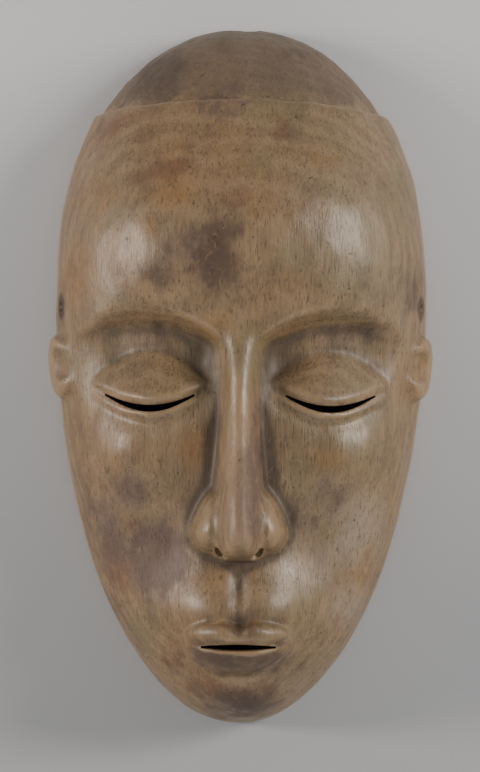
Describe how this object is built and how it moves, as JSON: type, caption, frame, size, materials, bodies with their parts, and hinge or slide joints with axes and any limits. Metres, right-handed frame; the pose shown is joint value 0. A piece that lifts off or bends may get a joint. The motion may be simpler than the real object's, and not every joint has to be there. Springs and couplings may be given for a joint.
{
  "type": "carved wooden face mask",
  "caption": "Hollow carved wooden face mask with a domed forehead, lowered slit eyes, long narrow nose, full lips and small ears, lying on its flat rim",
  "frame": {"origin": "middle of the mask's box, on the plane of its flat rim", "axes": "+Z out of the face, +Y towards the crown, +X to the right of someone who looks at the face"},
  "size_m": [0.1486, 0.2686, 0.0789],
  "materials": {
    "waxed_wood": "semi-gloss, waxed and worn by handling, darker on the crown"
  },
  "bodies": {
    "root": {"mask": "waxed_wood"}
  },
  "joints": []
}
